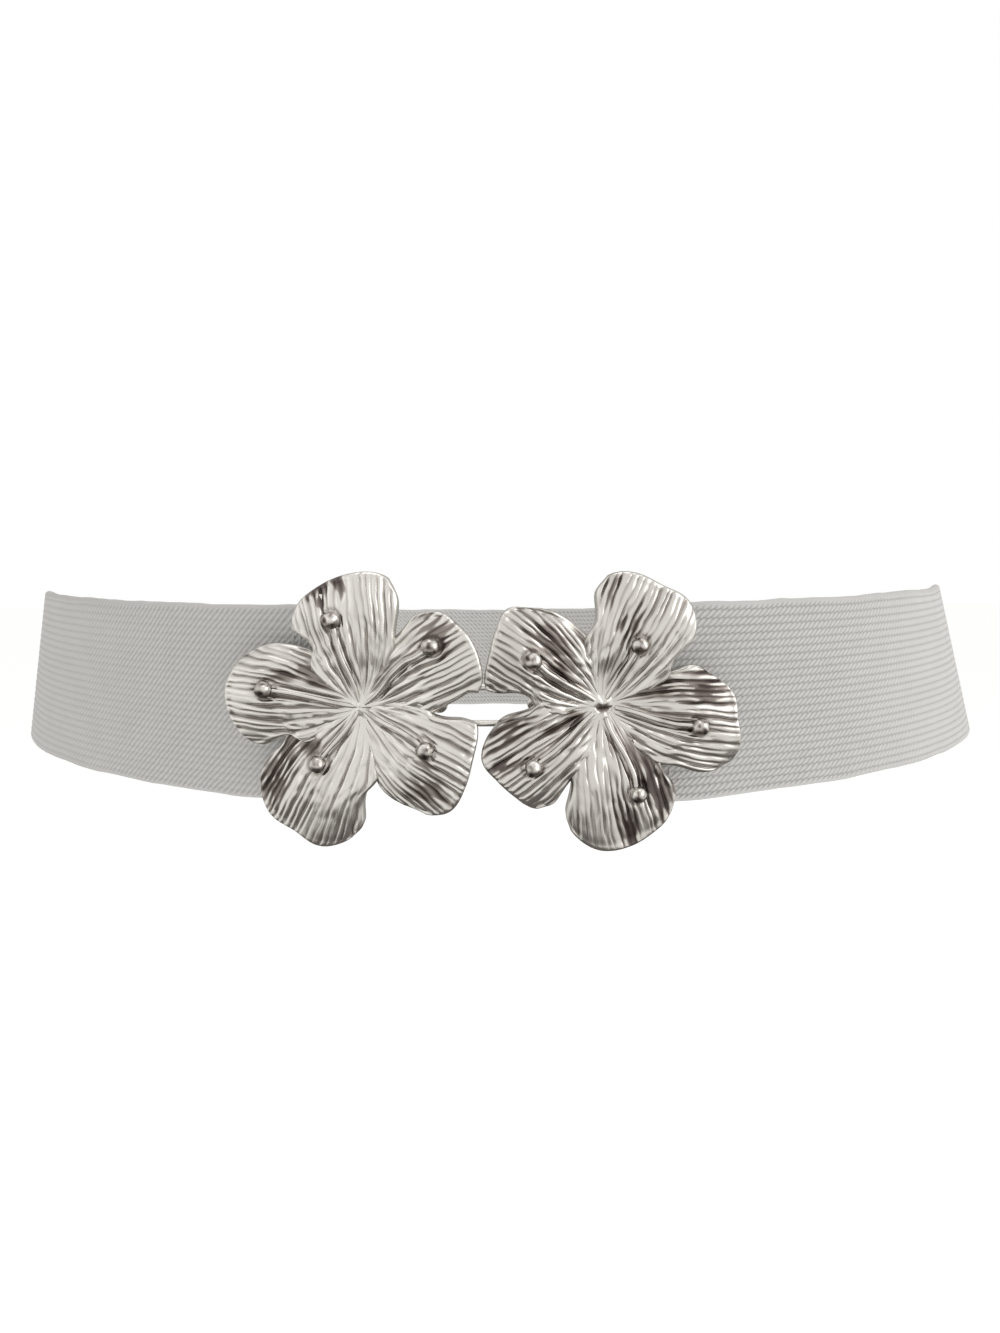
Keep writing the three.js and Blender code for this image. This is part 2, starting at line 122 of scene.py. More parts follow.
RIGHT_FLOWER = [
    {"turn": 64.5, "right": [32, 28, 20.5], "left": [32, 29.5, 24],
     "reach": [0.945, 0.95, 0.935, 0.955, 0.955], "edge": [0.45, -0.1, 0.35],
     "ball": 0.49, "ball_turn": -2,
     "marks": [(0.66, 0.2, 0.16, 0.1, 0.9), (0.62, 0.42, 0.06, 0.08, 1.3),
               (0.85, 0.78, 0.14, 0.2, 0.7), (0.75, -0.55, 0.28, 0.35, -0.6)]},
    {"turn": -7, "right": [34, 25.5, 18], "left": [33.5, 29.5, 21.5],
     "reach": [1.085, 1.05, 0.985, 0.955, 0.84], "edge": [0.3, -0.1, -0.25],
     "ball": 0.69, "ball_turn": -5,
     "marks": [(0.48, 0.62, 0.22, 0.26, 0.9), (0.74, 0.42, 0.1, 0.22, 1), (0.88, 0.55, 0.1, 0.34, 0.95),
               (0.45, -0.17, 0.22, 0.05, 1), (0.9, -0.5, 0.08, 0.3, -0.6)]},
    {"turn": -77, "right": [35, 31, 27], "left": [31.5, 28.5, 21.5],
     "reach": [0.965, 1.05, 1.04, 1, 0.97], "edge": [0.1, -0.3, 0.2],
     "ball": 0.66, "ball_turn": 7,
     "marks": [(0.55, 0.6, 0.22, 0.3, 1.2), (0.8, 0.62, 0.18, 0.3, 1.15), (0.9, 0, 0.12, 0.16, 1.6),
               (0.64, -0.12, 0.2, 0.12, 0.9), (0.82, -0.6, 0.12, 0.28, -0.5),
               (0.86, 0.4, 0.06, 0.09, -0.8)]},
    {"turn": -147, "right": [33.5, 28, 22], "left": [34.5, 30.5, 24.5],
     "reach": [0.84, 0.93, 0.905, 0.885, 0.9], "edge": [0.25, -0.2, -0.1],
     "ball": 0.65, "ball_turn": 4,
     "marks": [(0.9, -0.16, 0.14, 0.13, 1.4), (0.78, -0.7, 0.22, 0.28, 1.1), (0.42, -0.25, 0.16, 0.08, 1),
               (0.25, -0.2, 0.08, 0.3, 0.9), (0.8, 0.62, 0.15, 0.25, -0.6)]},
    {"turn": 143, "right": [35.5, 21.5, 14], "left": [28, 28.5, 28],
     "reach": [0.945, 0.97, 0.94, 0.885, 0.865], "edge": [-0.35, -0.35, 0.15],
     "ball": 0.62, "ball_turn": 3,
     "marks": [(0.66, -0.42, 0.16, 0.26, 1), (0.5, -0.2, 0.2, 0.42, 0.55),
               (0.9, 0.92, 0.1, 0.1, 0.6)]},
]
WEDGE = 43
HUB_END = 0.05
SIDE_STOPS = [0, 0.5, 0.62, 0.88, 1]
RIM_STOPS = [-1, -0.5, 0, 0.5, 1]
RISE_STOPS = [0, 0.2, 0.45, 0.7, 0.88, 1]
RISE_SHARES = [0, 0.22, 0.68, 1, 0.98, 0.8]
CURL_START = 0.5
CROWN_START = 0.9


# Small tools

def smooth(x):
    x = min(max(x, 0.0), 1.0)
    return x * x * (3 - 2 * x)


def through(stops, values, x):
    """A smooth curve through the values at the given stops."""
    last = len(stops) - 1
    i = 0
    while i < last - 1 and x > stops[i + 1]:
        i += 1

    def slope(k):
        a, b = max(k - 1, 0), min(k + 1, last)
        return (values[b] - values[a]) / (stops[b] - stops[a])

    h = stops[i + 1] - stops[i]
    u = (x - stops[i]) / h
    start = (1 + 2 * u) * (1 - u) ** 2 * values[i] + u * (1 - u) ** 2 * h * slope(i)
    end = u ** 2 * (3 - 2 * u) * values[i + 1] + u ** 2 * (u - 1) * h * slope(i + 1)
    return start + end


def noise_at(*place):
    return noise.noise(Vector(place))


def select_only(*objects):
    bpy.ops.object.select_all(action="DESELECT")
    for item in objects:
        item.select_set(True)
    bpy.context.view_layer.objects.active = objects[0]


def plate(name, columns, rows):
    """A flat plate of columns by rows of faces, one unit to a face, with a front and a back."""
    bpy.ops.object.select_all(action="DESELECT")
    bpy.ops.mesh.primitive_grid_add(x_subdivisions=columns, y_subdivisions=rows, size=2)
    made = bpy.context.object
    made.name = made.data.name = name
    made.scale = (columns / 2, rows / 2, 1)
    bpy.ops.object.transform_apply(location=False, rotation=False, scale=True)
    wall = made.modifiers.new("wall", "SOLIDIFY")
    wall.thickness, wall.offset = 0.5, 0
    bpy.ops.object.modifier_apply(modifier=wall.name)
    return made


def mould(made, columns, rows, point):
    """Moves each vertex of a plate to point(column, row, is_front), in millimetres, and gives
    back each vertex's column, row and side."""
    places = []
    for vertex in made.data.vertices:
        column = round(vertex.co.x + columns / 2)
        row = round(vertex.co.y + rows / 2)
        places.append((column, row, vertex.co.z > 0))
        vertex.co = point(*places[-1]) * MILLIMETRE
    made.data.update()
    return places


def darken(made, shades):
    """Keeps how dark each vertex is, from 0 to 1, for the metal's material."""
    layer = made.data.attributes.new("dark", "FLOAT", "POINT")
    layer.data.foreach_set("value", shades)


def finish_mesh(made, angle=None):
    """Faces outwards, and shading smooth all over or up to an angle."""
    select_only(made)
    bpy.ops.object.mode_set(mode="EDIT")
    bpy.ops.mesh.select_all(action="SELECT")
    bpy.ops.mesh.normals_make_consistent(inside=False)
    bpy.ops.object.mode_set(mode="OBJECT")
    if angle is None:
        bpy.ops.object.shade_smooth()
    else:
        bpy.ops.object.shade_smooth_by_angle(angle=math.radians(angle))


def settle(made):
    """Puts an object's place into its mesh."""
    select_only(made)
    bpy.ops.object.transform_apply(location=True, rotation=True, scale=True)


# Materials: Python's operators on a signal add Math nodes

class Signal:
    """What comes out of a node's socket."""

    def __init__(self, finish, socket):
        self.finish, self.socket = finish, socket

    def math(self, operation, *others):
        return self.finish.node("ShaderNodeMath", {"operation": operation}, self, *others)

    def __add__(self, other):
        return self.math("ADD", other)

    def __sub__(self, other):
        return self.math("SUBTRACT", other)

    def __mul__(self, other):
        return self.math("MULTIPLY", other)

    def __truediv__(self, other):
        return self.math("DIVIDE", other)

    def __pow__(self, other):
        return self.math("POWER", other)

    def __rsub__(self, other):
        return self.finish.node("ShaderNodeMath", {"operation": "SUBTRACT"}, other, self)

    __radd__ = __add__
    __rmul__ = __mul__

    def clamped(self):
        return self.finish.node("ShaderNodeClamp", {}, self)

    def wave(self):
        """0 to 1 and back, once for every whole step of the signal."""
        return (self * (2 * math.pi)).math("COSINE") * 0.5 + 0.5

    def step(self, start, end):
        """Rises smoothly from 0 at start to 1 at end."""
        return self.finish.node(
            "ShaderNodeMapRange", {"interpolation_type": "SMOOTHSTEP"}, self, start, end, 0.0, 1.0)


class Finish:
    """A material's or the world's nodes."""

    def __init__(self, tree):
        self.tree = tree
        tree.nodes.clear()

    def node(self, kind, settings, *values, out=0, **named):
        """A node with its settings and its sockets' values or links, in order or by name."""
        made = self.tree.nodes.new(kind)
        for key, value in settings.items():
            if key == "stops":
                ramp = made.color_ramp.elements
                while len(ramp) < len(value):
                    ramp.new(1.0)
                for element, (place, colour) in zip(ramp, value):
                    element.position, element.color = place, (*colour, 1.0)
            else:
                setattr(made, key, value)
        sockets = list(zip(made.inputs, values))
        sockets += [(made.inputs[key.replace("_", " ")], value) for key, value in named.items()]
        for socket, value in sockets:
            self.feed(socket, value)
        return Signal(self, made.outputs[out]) if made.outputs else None

    def feed(self, socket, value):
        if isinstance(value, Signal):
            self.tree.links.new(value.socket, socket)
        else:
            socket.default_value = value

    def ramp(self, factor, stops):
        return self.node("ShaderNodeValToRGB", {"stops": stops}, factor)

    def blend(self, factor, low, high):
        """A colour between two colours, which are a Mix node's sockets 6 and 7."""
        mixed = self.node("ShaderNodeMix", {"data_type": "RGBA"}, factor, out=2)
        self.feed(mixed.socket.node.inputs[6], low)
        self.feed(mixed.socket.node.inputs[7], high)
        return mixed

    def split(self, vector):
        """The three numbers of a vector."""
        first = self.node("ShaderNodeSeparateXYZ", {}, vector)
        return [Signal(self, socket) for socket in first.socket.node.outputs]


def material(name):
    made = bpy.data.materials.new(name)
    made.use_nodes = True
    return made, Finish(made.node_tree)


def dress(piece, finish):
    piece.data.materials.clear()
    piece.data.materials.append(finish)


# The elastic's loop seen from above, sampled from the front to the back on the right

def loop_samples():
    found, along = [], 0.0
    power = 2 / LOOP_FULLNESS
    for k in range(FINE_STEPS + 1):
        angle = -math.pi / 2 + math.pi * k / FINE_STEPS
        c, s = math.cos(angle), math.sin(angle)
        x = LOOP_HALF_WIDTH * abs(c) ** power if 0 < k < FINE_STEPS else 0.0
        y = LOOP_HALF_DEPTH * math.copysign(abs(s) ** power, s)
        if found:
            along += math.hypot(x - found[-1][0], y - found[-1][1])
        found.append((x, y, along))
    return found


SAMPLES = loop_samples()
ALONG = [sample[2] for sample in SAMPLES]
HALF_LENGTH = ALONG[-1]


def sample_at(distance):
    """Place and direction on the loop's line, this far from the middle of the front."""
    along = min(max(distance, 0.0), HALF_LENGTH)
    k = max(bisect_left(ALONG, along), 1)
    (ax, ay, a), (bx, by, b) = SAMPLES[k - 1], SAMPLES[k]
    u = (along - a) / (b - a)
    length = math.hypot(bx - ax, by - ay)
    return ax + (bx - ax) * u, ay + (by - ay) * u, (bx - ax) / length, (by - ay) / length


bar_x = FLOWER_SPACING / 2 + BAR_OFFSET * math.cos(FLOWER_TURN) - BAR_DEPTH * math.sin(FLOWER_TURN)
past = next(k for k, sample in enumerate(SAMPLES) if sample[0] >= bar_x)
bar_share = (bar_x - SAMPLES[past - 1][0]) / (SAMPLES[past][0] - SAMPLES[past - 1][0])
BAR_ALONG = ALONG[past - 1] + (ALONG[past] - ALONG[past - 1]) * bar_share
fold_x, fold_y, fold_u, fold_v = sample_at(BAR_ALONG)
OUTWARD = (fold_v, -fold_u)
BAR_PLACE = (fold_x - OUTWARD[0] * HALF, fold_y - OUTWARD[1] * HALF)
FLOWER_X = BAR_PLACE[0] - BAR_OFFSET * math.cos(FLOWER_TURN) + BAR_DEPTH * math.sin(FLOWER_TURN)
FLOWER_Y = BAR_PLACE[1] - BAR_OFFSET * math.sin(FLOWER_TURN) - BAR_DEPTH * math.cos(FLOWER_TURN)


# The elastic: one strip from the sewn left end, round the left bar, round the waist, and round
# the right bar to the sewn right end

RIBS = 23
RIB_PITCH = 1.6
RIB_HEIGHT = 0.1
RIB_ROWS = 6
RIBBED = RIBS * RIB_PITCH / 2  # from the middle to the selvedge
FACE_INSET = 0.03  # keeps the ribs' crests inside the source's face
SELVEDGE_STOPS = [0.3, 0.7, 1.1, 1.35, 1.5, 1.6]
SELVEDGE_RISE = 0.4
SELVEDGE_ROUND = 0.75
FOLD_SLACK = 0.04  # between the two layers of a folded end
LONG_STEP = 3.1
TURN_FACETS = 10
WAVE_START = 15.0  # the edges wave slightly from this height outwards
WAVE = 0.32
STRAND_PITCH = 1.37
STRAND_LEAN = 1.15  # strands that are crossed in one rib's height
STRAND_BREAK = 0.56  # strands by which a rib on the right half starts past the rib below
HALVES_BLEND = 60.0  # the halves' weaves meet within this of the middle of the back
SIDE_START = 66.0  # the weave fades from here to SIDE_END, measured sideways from the middle
SIDE_END = 112.0
PLAIN_EDGE = 0.55  # past this from the last rib, the selvedge shows no strands


def eye_gap(d):
    """How far the elastic has drawn in towards the bar, from the bar to the eye's end."""
    return FOLD_GAP * (1 + math.cos(math.pi * d / EYE_LENGTH)) / 2 if d < EYE_LENGTH else 0.0


def strip_side():
    """Stations from the sewn end to the middle of the back: x, y, and the way the face points."""
    def beside(d, offset, facing):
        x, y, u, v = sample_at(BAR_ALONG + d)
        return x + v * offset, y - u * offset, v * facing, -u * facing

    near = [0.0, 1.0, 2.0, 3.0, 4.0, 5.0, 6.0, 8.0, FOLD_LENGTH]
    stations = [beside(d, -2 * HALF - FOLD_SLACK - eye_gap(d), -1) for d in reversed(near)]
    across = math.atan2(OUTWARD[1], OUTWARD[0])
    for k in range(1, TURN_FACETS):
        angle = across + math.pi + math.pi * k / TURN_FACETS
        c, s = math.cos(angle), math.sin(angle)
        radius = FOLD_GAP + HALF
        stations.append((BAR_PLACE[0] + radius * c, BAR_PLACE[1] + radius * s, c, s))
    far = HALF_LENGTH - BAR_ALONG
    steps = round((far - FOLD_LENGTH) / LONG_STEP)
    near += [FOLD_LENGTH + (far - FOLD_LENGTH) * k / steps for k in range(1, steps + 1)]
    return stations + [beside(d, eye_gap(d), 1) for d in near]


right_side = strip_side()
left_side = [(-x, y, -nx, ny) for x, y, nx, ny in right_side]
STATIONS = left_side + list(reversed(right_side))[1:]
LENGTHS = [0.0]
for (ax, ay, _, _), (bx, by, _, _) in zip(STATIONS, STATIONS[1:]):
    LENGTHS.append(LENGTHS[-1] + math.hypot(bx - ax, by - ay))
STRIP_LENGTH = LENGTHS[-1]

ribbed_rows = RIBS * RIB_ROWS
HEIGHTS = [-RIBBED - stop for stop in reversed(SELVEDGE_STOPS)]
HEIGHTS += [-RIBBED + RIB_PITCH * k / RIB_ROWS for k in range(ribbed_rows + 1)]
HEIGHTS += [RIBBED + stop for stop in SELVEDGE_STOPS]


def fall(y):
    """How far down the loop lies at y, which is most at the back."""
    depth = max(y - DIP_START, 0.0)
    return depth ** 2 / (depth + DIP_EASE)


def elastic_offset(height):
    """From the middle of the elastic's thickness to its face: ribs, and a rounded selvedge."""
    past_ribs = abs(height) - RIBBED
    if past_ribs <= 0:
        crest = abs(math.sin(math.pi * (height + RIBBED) / RIB_PITCH)) ** 0.8
        return HALF - FACE_INSET - RIB_HEIGHT * (1 - crest)
    if past_ribs < SELVEDGE_ROUND:
        return HALF - 2 * FACE_INSET - RIB_HEIGHT * (1 - smooth(past_ribs / SELVEDGE_RISE))
    u = (past_ribs - SELVEDGE_ROUND) / (SELVEDGE_STOPS[-1] - SELVEDGE_ROUND)
    return (HALF - 2 * FACE_INSET) * math.sqrt(max(1 - u * u, 0.004))


def elastic_point(column, row, is_front):
    """A place on the strip, with its waving edges, the hips' flare and the lower back."""
    x, y, nx, ny = STATIONS[column]
    height = HEIGHTS[row]
    along = LENGTHS[column]
    edge = smooth((abs(height) - WAVE_START) / (ELASTIC_WIDTH / 2 - WAVE_START))
    line = math.copysign(3.0, height)
    ripple = noise_at(along * 0.09, line, 0.5) + 0.5 * noise_at(along * 0.27, line, 4.5)
    height += WAVE * edge * ripple
    offset = elastic_offset(HEIGHTS[row]) * (1 if is_front else -1)
    x, y = x + nx * offset, y + ny * offset
    flare = -HIP_FLARE_LEFT if x < 0 else HIP_FLARE_RIGHT
    share = smooth((abs(x) - FLARE_START) / (LOOP_HALF_WIDTH - FLARE_START))
    drop = BACK_DIP * fall(y) / fall(LOOP_HALF_DEPTH)
    return Vector((x - flare * share * height / (ELASTIC_WIDTH / 2), y, height - drop))


def make_elastic():
    """The whole strip, with its UV map in millimetres: along the strip and up from its middle."""
    columns, rows = len(STATIONS) - 1, len(HEIGHTS) - 1
    belt = plate("woven_elastic", columns, rows)
    places = mould(belt, columns, rows, elastic_point)
    layer = belt.data.uv_layers.active
    for loop in belt.data.loops:
        column, row, _ = places[loop.vertex_index]
        layer.data[loop.index].uv = (LENGTHS[column], HEIGHTS[row])
    finish_mesh(belt)
    return belt


def elastic_material():
    made, finish = material("ribbed_elastic")
    cloth = finish.node("ShaderNodeUVMap", {})
    along, height, _ = finish.split(cloth)
    aside, _, _ = finish.split(finish.node("ShaderNodeTexCoord", {}, out=3))
    slow = finish.node("ShaderNodeTexNoise", {}, cloth, Scale=0.13, Detail=2.0)
    thread = finish.node("ShaderNodeTexNoise", {}, cloth, Scale=5.0, Detail=3.0)
    rib_place = (height + RIBBED) / RIB_PITCH
    within = rib_place.math("FRACT")
    rib = rib_place.math("FLOOR")
    # Strands lean one way; on the right half each rib's strands break off from the next rib's,
    # and towards the sides of the loop the ribs show more than the strands. The darker gaps between
    # the strands and between the ribs are painted shade.
    right_half = along.step(STRIP_LENGTH / 2 - HALVES_BLEND, STRIP_LENGTH / 2 + HALVES_BLEND)
    at_side = aside.math("ABSOLUTE").step(SIDE_START * MILLIMETRE, SIDE_END * MILLIMETRE)
    whole = rib_place * STRAND_LEAN
    lean = whole + (within * STRAND_LEAN + rib * STRAND_BREAK - whole) * right_half
    phase = along / STRAND_PITCH + lean + (slow - 0.5) * 0.9 + (thread - 0.5) * 0.3
    strand = phase.wave() ** 0.8
    valley = ((within * 2 - 1).math("ABSOLUTE")) ** 2.5
    between_ribs = valley * (right_half * (1 - at_side * 0.55) * 0.28 + at_side * 0.16 + 0.12)
    woven = 1 - (height.math("ABSOLUTE") - RIBBED - PLAIN_EDGE).step(0.0, 0.5)
    depth = 1 - ((1 - strand) * (1 - at_side * 0.8) * 0.54 + between_ribs) * woven
    depth = depth - (1 - woven) * 0.25
    shade = depth + (thread - 0.5) * 0.6 + (slow - 0.5) * 0.16
    # Painted shade: the sides of the loop are darker, the left side most
    shade = (shade - at_side * (0.2 - right_half * 0.13)).clamped()
    colour = finish.ramp(shade, [
        (0.0, (0.26, 0.252, 0.24)), (0.35, (0.4, 0.392, 0.376)),
        (0.75, (0.52, 0.51, 0.49)), (1.0, (0.6, 0.59, 0.567))])
    bump = finish.node("ShaderNodeBump", {}, Strength=0.9, Distance=0.0003, Height=depth)
    shader = finish.node(
        "ShaderNodeBsdfPrincipled", {}, Base_Color=colour, Roughness=0.62, Normal=bump,
        Specular_IOR_Level=0.35, Sheen_Weight=0.15, Sheen_Roughness=0.5)
    finish.node("ShaderNodeOutputMaterial", {}, shader)
    return made


# The stitches that hold each folded end

STITCH_LENGTH = 2.3
STITCH_PITCH = 3.0
STITCH_WIRE = 0.22
STITCH_SINK = 0.05
STITCH_MARGIN = 2.0
STITCH_ROWS = (7.4, 8.9)


def make_stitches(name, side):
    """Two rows of stitches through both layers, on the inner and the outer face."""
    bpy.ops.object.select_all(action="DESELECT")
    bpy.ops.mesh.primitive_uv_sphere_add(segments=8, ring_count=6, radius=1.0)
    first = bpy.context.object
    first.scale = (STITCH_WIRE, STITCH_WIRE, STITCH_LENGTH / 2)
    bpy.ops.object.transform_apply(location=False, rotation=False, scale=True)
    placed = []
    count = int((ELASTIC_WIDTH - 2 * STITCH_MARGIN) / STITCH_PITCH)
    for d in STITCH_ROWS:
        x, y, u, v = sample_at(BAR_ALONG + d)
        for offset in (HALF - STITCH_SINK, -3 * HALF):
            for k in range(count):
                z = (k - (count - 1) / 2) * STITCH_PITCH
                copy = first.copy()
                copy.data = first.data.copy()
                bpy.context.collection.objects.link(copy)
                lean = 0.05 * math.sin(k * 2.4 + d)
                copy.data.transform(Matrix.Rotation(lean, 4, "Y"))
                copy.data.transform(Matrix.Translation((side * (x + v * offset), y - u * offset, z)))
                copy.data.transform(Matrix.Scale(MILLIMETRE, 4))
                placed.append(copy)
    bpy.data.objects.remove(first)
    select_only(*placed)
    bpy.ops.object.join()
    made = bpy.context.object
    made.name = made.data.name = name
    bpy.ops.object.shade_smooth()
    return made


# Petals: the source's forms, with finer ridges that join towards the hub. A place on a petal is
# s, from 0 at the hub to 1 at the rim, and t, from -1 at the right side to 1 at the left.

PETAL_COLUMNS = 150
PETAL_ROWS = 54
PETAL_HALF_WIDTH = 11.0  # for the spacing of the columns
EDGE_STEPS = [0.07, 0.18, 0.34, 0.6]  # extra fine steps near the rim, in millimetres
EDGE_ROUND = 0.45
CALM_EDGE = 1.2  # the lines grow shallow this near to the rim
LIP = 0.18  # height of the raised rim
FINE_RIDGES = 8.0  # from the middle of a petal to its edge
LINE_WIDTHS = (0.13, 0.08, 0.055)  # of fine, middle and coarse lines, as shares of their pitch
RIDGE_SPREAD = 11.5
RIDGE_ROUND = 0.1
GROOVE = 0.32  # depth of the lines between the ridges
FLECK = 0.16  # depth of the small dark flecks between the ridges
HOLLOW = 0.5  # depth of a full mark
FRONT_LIFT = 0.28  # of the ridged front over the source's plain one
SWELL = 0.42
SWELL_SIZE = 6.5
CRUMPLE = 0.5
STALK_SETTLED = 0.4  # how far out the stalk has taken up its lean
STALK_LINE = 0.95  # from the stalk's middle to the dark line beside it
BALL_LINE = 1.95  # from the ball's middle to the dark line round it
STALK_RISE = 0.35
STALK_STEPS = 26
STALK_SIDES = 10
BALL_LIFT = 0.3


def petal_height(petal, s, t):
    """How far forward the petal's back stands."""
    sides = petal["edge"][0] if t < 0 else petal["edge"][2]
    curl = petal["edge"][1] * smooth((s - CURL_START) / (1 - CURL_START))
    middle = PETAL_RISE * (through(RISE_STOPS, RISE_SHARES, s) + curl)
    across = PETAL_CROWN * t * t * smooth(s / CROWN_START) * (sides - 1)
    return max(middle + across, 0.0)


def petal_place(petal, s, t):
    """Angle in radians and distance from the flower's centre."""
    side = petal["right"] if t < 0 else petal["left"]
    span = through(SIDE_STOPS, [WEDGE, WEDGE, *side], s)
    angle = math.radians(petal["turn"] + t * span)
    rounded = 1 - CORNER_ROUND * t ** 6 * smooth((s - CORNER_START) / (1 - CORNER_START))
    return angle, FLOWER_RADIUS * s * rounded * through(RIM_STOPS, petal["reach"], t), math.radians(span)


def groove(phase, width):
    """1 in the narrow line at every whole phase."""
    off = phase - round(phase)
    return math.exp(-(off / width) ** 2)


def line_strength(phase, s, seed):
    """Each line is deep in some places and shallow in others."""
    return 0.75 + 1.4 * noise_at(round(phase) * 1.71, 2.6 * s, seed + 21)


def ridge_relief(aside, s, seed, flecked):
    """Height of the ridges, how deep in a line the place is, how near to a ridge's top, and how
    deep in a fleck. aside is measured from the petal's middle, and flecked is how strong the
    flecks are."""
    # Ridges leave the hub like spokes and run side by side further out
    across = aside / (RIDGE_SPREAD * (1 - math.exp(-s / 0.4)))
    across += 0.075 * noise_at(2.4 * s, 1.7 * across, seed)
    across += 0.055 * noise_at(4.6 * across, 0.8 * s, seed + 11)
    across += 0.022 * noise_at(9.0 * s, 5.0 * across, seed + 15)
    calm = 0.3 + 0.7 * smooth(noise_at(1.9 * across, 3.1 * s, seed + 51) * 2.2 + 0.75)
    fine, middle, coarse = across * FINE_RIDGES, across * FINE_RIDGES / 2, across * FINE_RIDGES / 4
    to_fine = smooth((s - 0.4 - 0.14 * noise_at(across * 4, 0.2, seed + 5)) / 0.22)
    to_middle = smooth((s - 0.12) / 0.16)
    to_coarse = smooth((s - 0.04) / 0.1)
    line = max(
        groove(fine, LINE_WIDTHS[0]) * to_fine * line_strength(fine, s, seed),
        groove(middle, LINE_WIDTHS[1]) * to_middle * line_strength(middle, s, seed + 2),
        groove(coarse, LINE_WIDTHS[2]) * to_coarse * 0.9)
    line = min(max(line, 0.0), 1.0)
    top = 0.5 - 0.5 * math.cos(2 * math.pi * fine)
    rounded = RIDGE_ROUND * (top - 0.5) * to_fine
    rounded -= RIDGE_ROUND * math.cos(2 * math.pi * middle) * to_middle
    fleck = smooth((noise_at(across * 9, s * 5, seed + 61) - 0.1) / 0.3) * (1 - 0.7 * top)
    fleck *= smooth((s - 0.12) / 0.15) * (1 - 0.6 * smooth((s - 0.72) / 0.2)) * flecked
    height = calm * (rounded - GROOVE * line) - FLECK * fleck
    return height, line * (0.4 + 0.6 * calm), top * to_fine, fleck


def marks_at(petal, s, t):
    """The depth of the petal's marks, which is negative on a bright swell."""
    total = 0.0
    for at_s, at_t, half_s, half_t, depth in petal["marks"]:
        total += depth * math.exp(-((s - at_s) / half_s) ** 2 - ((t - at_t) / half_t) ** 2)
    return min(max(total, -1.0), 1.7)


def stalk_way(petal):
    """The stalk's lean, as a share of the petal's left side, and how far out its ball sits."""
    lean = petal["ball_turn"] / petal["left"][1]
    return lean, petal["ball"] / through(RIM_STOPS, petal["reach"], lean)


def beside_stamen(petal, s, t, radius, span):
    """1 in the lines on both sides of the stalk and in the line round its ball."""
    lean, stalk_end = stalk_way(petal)
    aside = abs(t - lean * smooth(s / STALK_SETTLED)) * span * radius
    line = math.exp(-((aside - STALK_LINE) / 0.25) ** 2)
    line *= smooth((stalk_end - s) / 0.04) * smooth((s - 0.1) / 0.1)
    from_ball = math.hypot(aside, (s - stalk_end) * radius / max(s, 0.01))
    return max(line, math.exp(-((from_ball - BALL_LINE) / 0.35) ** 2))


def relief_at(petal, s, t, seed, tone):
    """How far the front stands over the petal's back, and how dark it is, with painted shade in
    its lines and flecks and painted dark reflections in its marks. tone is how dark the flower is
    all over."""
    angle, radius, span = petal_place(petal, s, t)
    x, z = radius * math.cos(angle), radius * math.sin(angle)
    aside = t * span * radius
    # Near the hub the petals overlap, and their sides don't count as edges
    settled = smooth((s - 0.15) / 0.3)
    to_rim = (1 - s) * radius / max(s, 0.01)
    to_side = (1 - abs(t)) * radius * span
    edge = min(to_rim, to_side + (1 - settled) * 3)
    ridge, line, top, fleck = ridge_relief(aside, s, seed, 0.4 + 6 * tone)
    keep = 0.2 + 0.8 * smooth(edge / CALM_EDGE)
    swell = SWELL * noise_at(x / SWELL_SIZE, z / SWELL_SIZE, seed + 31) * smooth((s - 0.1) / 0.3)
    crumple = abs(noise_at(aside / 2.2, radius / 3.8, seed + 41))
    swell += CRUMPLE * crumple * smooth((s - 0.15) / 0.2) * smooth((0.95 - s) / 0.35)
    mark = marks_at(petal, s, t)
    beside = beside_stamen(petal, s, t, radius, span)
    height = CAST_THICKNESS + FRONT_LIFT + ridge * keep + swell - 0.3 * beside
    height += LIP * math.exp(-((edge - 0.7) / 0.4) ** 2) * settled
    height -= HOLLOW * min(mark, 0.9) * smooth(edge / 1.5)
    if edge < EDGE_ROUND:
        height -= EDGE_ROUND - math.sqrt(EDGE_ROUND ** 2 - (EDGE_ROUND - edge) ** 2)
    # Each mark's painted dark reflection has a ragged edge and leaves the tops of the ridges bright
    worn = 1 + 0.9 * noise_at(aside * 0.9, radius * 0.28, seed + 71)
    ragged = 1 + 0.9 * noise_at(aside * 0.7, radius * 0.6, seed + 75)
    painted_dark_reflection = smooth((mark * worn - 0.1 - 0.62 * top * ragged) / 0.34) * (0.36 + 0.34 * mark)
    # Painted shade in the lines, beside the stamen and in the flecks, the marks' painted dark
    # reflections, and a swell painted a little lighter
    dark = max(0.6 * line * keep, 0.6 * beside, 0.5 * fleck) + painted_dark_reflection + 0.1 * min(mark, 0) + tone
    return height, min(max(dark, 0.0), 1.0)


def near_edges(count, width):
    """Stops from 0 to 1 that crowd at 1: count even ones, then the fine steps near the edge."""
    last = 1 - EDGE_STEPS[-1] / width
    stops = [last * k / (count - len(EDGE_STEPS)) for k in range(count - len(EDGE_STEPS) + 1)]
    return stops + [1 - step / width for step in reversed(EDGE_STEPS[:-1])] + [1.0]


